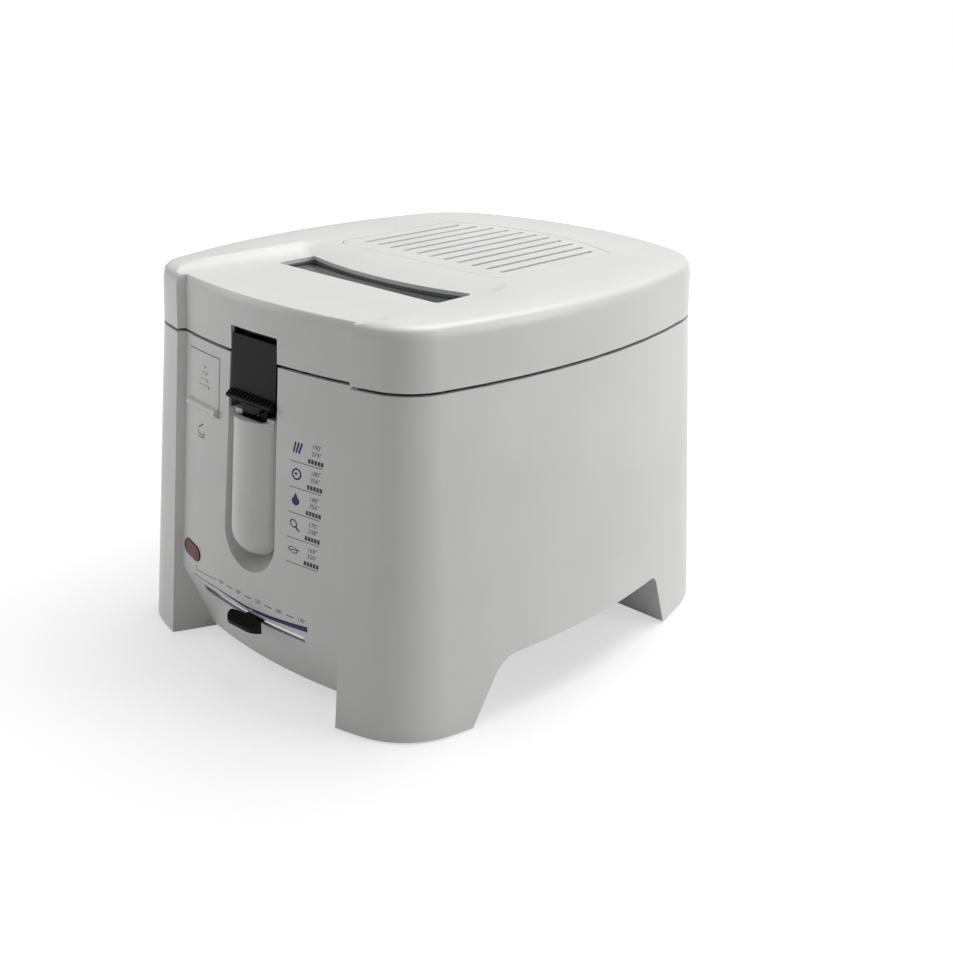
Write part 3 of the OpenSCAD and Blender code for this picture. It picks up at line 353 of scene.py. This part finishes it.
def housingSurface():
    bm = bmesh.new()
    bm.from_mesh(nodes["body_shell"].data)
    surface = BVHTree.FromBMesh(bm)
    bm.free()
    return surface


def stroke(bm, start, end, width, endWidth=None):
    # a flat bar between two places on the panel
    a, b = Vector((start[0], 0, start[1])), Vector((end[0], 0, end[1]))
    side = Vector((a.z - b.z, 0, b.x - a.x)).normalized() / 2
    wide = width if endWidth is None else endWidth
    corners = (a - side * width, b - side * wide, b + side * wide, a + side * width)
    bm.faces.new([bm.verts.new(corner) for corner in corners])


def placeFlat(bm, verts, centre, squash, turn):
    place = (Matrix.Translation((centre[0], 0, centre[1])) @ Matrix.Rotation(radians(turn), 4, "Y")
             @ Matrix.Diagonal((1, 1, squash, 1)) @ Matrix.Rotation(radians(90), 4, "X"))
    bmesh.ops.transform(bm, matrix=place, verts=verts)


def dot(bm, centre, radius, squash=1.0, turn=0.0):
    made = bmesh.ops.create_circle(bm, cap_ends=True, segments=panelInk["discSides"], radius=radius)
    placeFlat(bm, made["verts"], centre, squash, turn)


def loop(bm, centre, radius, width, squash=1.0, turn=0.0, gap=0.0):
    # an open or closed ring line: a short edge spun round
    inner, outer = bm.verts.new((radius - width, 0, 0)), bm.verts.new((radius, 0, 0))
    edge = bm.edges.new((inner, outer))
    known = set(bm.verts) - {inner, outer}
    bmesh.ops.spin(bm, geom=[inner, outer, edge], cent=(0, 0, 0), axis=(0, 0, 1), angle=radians(360 - gap),
                   steps=panelInk["ringSteps"], use_merge=gap == 0)
    placeFlat(bm, [v for v in bm.verts if v not in known], centre, squash, turn)


def numeral(bm, words, place, size):
    curve = bpy.data.curves.new("numeral", "FONT")
    curve.body = words
    curve.size = size
    curve.align_x = "CENTER"
    curve.align_y = "CENTER"
    curve.resolution_u = panelInk["letterSteps"]
    holder = bpy.data.objects.new("numeral", curve)
    flat = bpy.data.meshes.new_from_object(holder)
    known = set(bm.verts)
    bm.from_mesh(flat)
    placeFlat(bm, [v for v in bm.verts if v not in known], place, 1.0, 0)
    bpy.data.objects.remove(holder)
    bpy.data.curves.remove(curve)
    bpy.data.meshes.remove(flat)


def drawSign(bm, parts, middle):
    # each part is a shape, its places from the sign's middle, and its sizes
    for draw, places, sizes in parts:
        draw(bm, *[(middle[0] + across, middle[1] + up) for across, up in places], *sizes)


def printOnPanel(name, bm, finish, surface, look=panelInk):
    # slices the flat shapes so that they can follow the bowed panel, then lays them on it
    width = max(v.co.x for v in bm.verts) - min(v.co.x for v in bm.verts)
    start = min(v.co.x for v in bm.verts)
    for k in range(1, int(width / look["slice"]) + 1):
        bmesh.ops.bisect_plane(bm, geom=bm.verts[:] + bm.edges[:] + bm.faces[:],
                               plane_co=(start + k * look["slice"], 0, 0), plane_no=(1, 0, 0))
    for v in bm.verts:
        eye = Vector((v.co.x * mm, look["before"] * mm, (v.co.z + look["parting"]) * mm))
        place, normal = surface.ray_cast(eye, Vector((0, 1, 0)))[:2]
        v.co = place + normal * look["lift"] * mm
    bmesh.ops.remove_doubles(bm, verts=bm.verts, dist=look["join"] * mm)
    bm.normal_update()
    turned = [f for f in bm.faces if f.normal.y > 0]
    bmesh.ops.reverse_faces(bm, faces=turned)
    finishPiece(name, bm, "housing", finish)


def between(a, b, t):
    return (a[0] + (b[0] - a[0]) * t, a[1] + (b[1] - a[1]) * t)


heatScale = {
    "wedge": [(-59, -155.3, 0.4), (-31, -154.3, 0.6), (3.5, -155.4, 1.7),  # place and width
              (26, -154.3, 2.4), (52, -152.4, 3.3)],
    "tick": [(-56, -148.0), (-56, -151.4), (-31.4, -148.9)], "tickWidth": 0.4,
    "numerals": ["150°", "160°", "170°", "180°", "190°"], "numeralSize": 3.4,
    "firstNumeral": (-26.4, -148.5), "lastNumeral": (47.4, -148.1),
    "dash": (0.33, 0.68), "dashWidth": 0.6}  # the dash's ends as shares of the way between two numerals


def printScale(surface, look):
    # a hairline that swells to a wedge along the lower edge, with numerals and dashes above it
    wedge, words = bmesh.new(), bmesh.new()
    for a, b in zip(look["wedge"], look["wedge"][1:]):
        stroke(wedge, a[:2], b[:2], a[2], b[2])
    first, last, steps = look["firstNumeral"], look["lastNumeral"], len(look["numerals"]) - 1
    for k, degrees in enumerate(look["numerals"]):
        numeral(words, degrees, between(first, last, k / steps), look["numeralSize"])
    for k in range(steps):
        start, end = (between(first, last, (k + share) / steps) for share in look["dash"])
        stroke(words, start, end, look["dashWidth"])
    for a, b in zip(look["tick"], look["tick"][1:]):
        stroke(words, a, b, look["tickWidth"])
    printOnPanel("heat_scale_wedge", wedge, "navyInk", surface)
    printOnPanel("heat_scale_numerals", words, "greyInk", surface)


# plain marks for kinds of food; sizes are the widths of a stroke's ends,
# a dot's radius and squash, or a loop's radius, line, squash and turn
foodMarks = {
    "sticks": [(stroke, [(-2.9, -3.0), (-1.5, 3.4)], (1.3,)),
               (stroke, [(-0.9, -3.0), (0.9, 3.4)], (1.3,)),
               (stroke, [(1.1, -3.0), (3.3, 3.4)], (1.3,))],
    "ring": [(loop, [(0, 0)], (3.7, 1.1, 0.95, -20)), (dot, [(-0.4, 0.2)], (1.0, 0.8))],
    "drop": [(dot, [(0, -0.8)], (2.9, 0.9)), (stroke, [(-0.1, 4.2), (0, -0.4)], (0.3, 4.8))],
    "drumlet": [(loop, [(-0.8, 0.8)], (2.9, 0.9, 0.85, 30)), (stroke, [(1.2, -1.2), (3.6, -3.2)], (1.1,))],
    "leaf": [(loop, [(-0.4, 0)], (3.7, 0.8, 0.52, 8)), (stroke, [(-3.0, -0.3), (4.4, 0.6)], (0.5,))],
}

heatGuide = {
    "rows": [("sticks", "190°", "374°"), ("ring", "180°", "356°"), ("drop", "180°", "356°"),
             ("drumlet", "170°", "338°"), ("leaf", "160°", "320°")],
    "left": 33.5, "firstRule": -51.9, "pitch": 15.45, "width": 24.0, "ruleWidth": 0.4,
    "mark": (5.4, 8.2),  # from the rule's left end
    "numerals": [(-4.6, 11.2), (-4.6, 7.1)], "numeralSize": 3.9,  # from the rule's right end
    "bars": 5, "firstBar": -9.6, "barPitch": 2.3, "barFrom": 1.2, "barTo": 3.8, "barWidth": 1.8}


def printGuide(surface, look):
    # five rows, each a mark, two numbers and a barred field, over a fine rule
    marks, words = bmesh.new(), bmesh.new()
    left, right = look["left"], look["left"] + look["width"]
    for k, (food, *degrees) in enumerate(look["rows"]):
        rule = look["firstRule"] - k * look["pitch"]
        drawSign(marks, foodMarks[food], (left + look["mark"][0], rule + look["mark"][1]))
        for heat, (across, up) in zip(degrees, look["numerals"]):
            numeral(words, heat, (right + across, rule + up), look["numeralSize"])
        for bar in range(look["bars"]):
            x = right + look["firstBar"] + bar * look["barPitch"]
            stroke(words, (x, rule + look["barFrom"]), (x, rule + look["barTo"]), look["barWidth"])
        stroke(words, (left, rule), (right, rule), look["ruleWidth"])
    printOnPanel("heat_guide_marks", marks, "navyInk", surface)
    printOnPanel("heat_guide_fields", words, "greyInk", surface)


# a pot outline with its lid lifted, under the button
lidSign = {
    "middle": (-52.4, -56.6),
    "parts": [(stroke, [(-3.4, -1.2), (-2.8, -5.2)], (0.6,)),
              (stroke, [(-3.0, -5.2), (3.0, -5.2)], (0.6,)),
              (stroke, [(2.8, -5.2), (3.4, -1.2)], (0.6,)),
              (stroke, [(-3.4, 0.4), (2.2, 3.8)], (0.8,)),
              (loop, [(0.6, 0.6)], (4.4, 0.6, 1.0, 130, 275))]}  # the last number is the gap in degrees


def printLidSign(surface, look):
    bm = bmesh.new()
    drawSign(bm, look["parts"], look["middle"])
    printOnPanel("lid_sign", bm, "greyInk", surface)


panelSurface = housingSurface()
printScale(panelSurface, heatScale)
printGuide(panelSurface, heatGuide)
printLidSign(panelSurface, lidSign)
print("front panel printed")


# ---- studio ----

studio = {
    "floorSize": 6.0, "glowFrom": 0.45, "glowTo": 1.1,  # m; between these the floor's glow grows
    "worldLight": 0.27, "floorPaint": 0.5, "floorGlow": 0.56, "farGlow": 1.0}

lamps = {
    "top softbox": {"place": (0.1, 0.55, 1.9), "aim": (0, 0, 0.15), "size": 1.4, "power": 29},  # m and W
    "right softbox": {"place": (1.9, 1.05, 0.9), "aim": (0, 0, 0.12), "size": 1.1, "power": 16},
    "left softbox": {"place": (-1.6, -1.2, 0.7), "aim": (0, 0, 0.12), "size": 0.9, "power": 7.5},
}


def whiteRays(tree, *kinds):
    # 1 for rays of these kinds, else 0
    rays = addNode(tree, "ShaderNodeLightPath")
    seen = rays.outputs[kinds[0]]
    for kind in kinds[1:]:
        seen = addNode(tree, "ShaderNodeMath", {"operation": "ADD", "use_clamp": True},
                       links={0: seen, 1: rays.outputs[kind]}).outputs[0]
    return seen


def layFloor(look):
    bm = bmesh.new()
    bmesh.ops.create_grid(bm, x_segments=1, y_segments=1, size=look["floorSize"])
    mesh = bpy.data.meshes.new("floor")
    bm.to_mesh(mesh)
    bm.free()
    floor = bpy.data.objects.new("floor", mesh)
    bpy.context.scene.collection.objects.link(floor)
    paint = bpy.data.materials.new("matt white paper")
    paint.use_nodes = True
    tree = paint.node_tree
    tree.nodes.clear()
    sheet = addNode(tree, "ShaderNodeBsdfDiffuse", inputs={"Color": (look["floorPaint"],) * 3 + (1,)})
    glow = addNode(tree, "ShaderNodeEmission", inputs={"Color": (1, 1, 1, 1)})
    seen = whiteRays(tree, "Is Camera Ray", "Is Glossy Ray", "Is Transmission Ray")
    spot = addNode(tree, "ShaderNodeTexCoord").outputs["Object"]
    reach = addNode(tree, "ShaderNodeVectorMath", {"operation": "LENGTH"}, links={0: spot})
    glowing = addNode(tree, "ShaderNodeMapRange", {"interpolation_type": "SMOOTHSTEP"},
                      inputs={"From Min": look["glowFrom"], "From Max": look["glowTo"],
                              "To Min": look["floorGlow"], "To Max": look["farGlow"]},
                      links={"Value": reach.outputs["Value"]})
    level = addNode(tree, "ShaderNodeMath", {"operation": "MULTIPLY"},
                    links={0: seen, 1: glowing.outputs[0]})
    tree.links.new(level.outputs[0], glow.inputs["Strength"])
    both = addNode(tree, "ShaderNodeAddShader", links={0: sheet.outputs[0], 1: glow.outputs[0]})
    addNode(tree, "ShaderNodeOutputMaterial", links={"Surface": both.outputs[0]})
    mesh.materials.append(paint)


def lightWorld(look):
    world = bpy.data.worlds.new("studio")
    bpy.context.scene.world = world
    world.use_nodes = True
    tree = world.node_tree
    tree.nodes.clear()
    seen = whiteRays(tree, "Is Camera Ray", "Is Transmission Ray")
    level = addNode(tree, "ShaderNodeMapRange", inputs={"To Min": look["worldLight"], "To Max": 1.0},
                    links={"Value": seen})
    sky = addNode(tree, "ShaderNodeBackground", inputs={"Color": (1, 1, 1, 1)},
                  links={"Strength": level.outputs[0]})
    addNode(tree, "ShaderNodeOutputWorld", links={"Surface": sky.outputs[0]})


def addLamp(name, look):
    data = bpy.data.lights.new(name, "AREA")
    data.shape = "DISK"
    data.size = look["size"]
    data.energy = look["power"]
    lamp = bpy.data.objects.new(name, data)
    bpy.context.scene.collection.objects.link(lamp)
    lamp.location = look["place"]
    lamp.rotation_euler = (Vector(look["place"]) - Vector(look["aim"])).to_track_quat("Z", "Y").to_euler()


layFloor(studio)
lightWorld(studio)
for name, look in lamps.items():
    addLamp(name, look)
bpy.context.scene.view_settings.view_transform = "Standard"
print("studio lit")
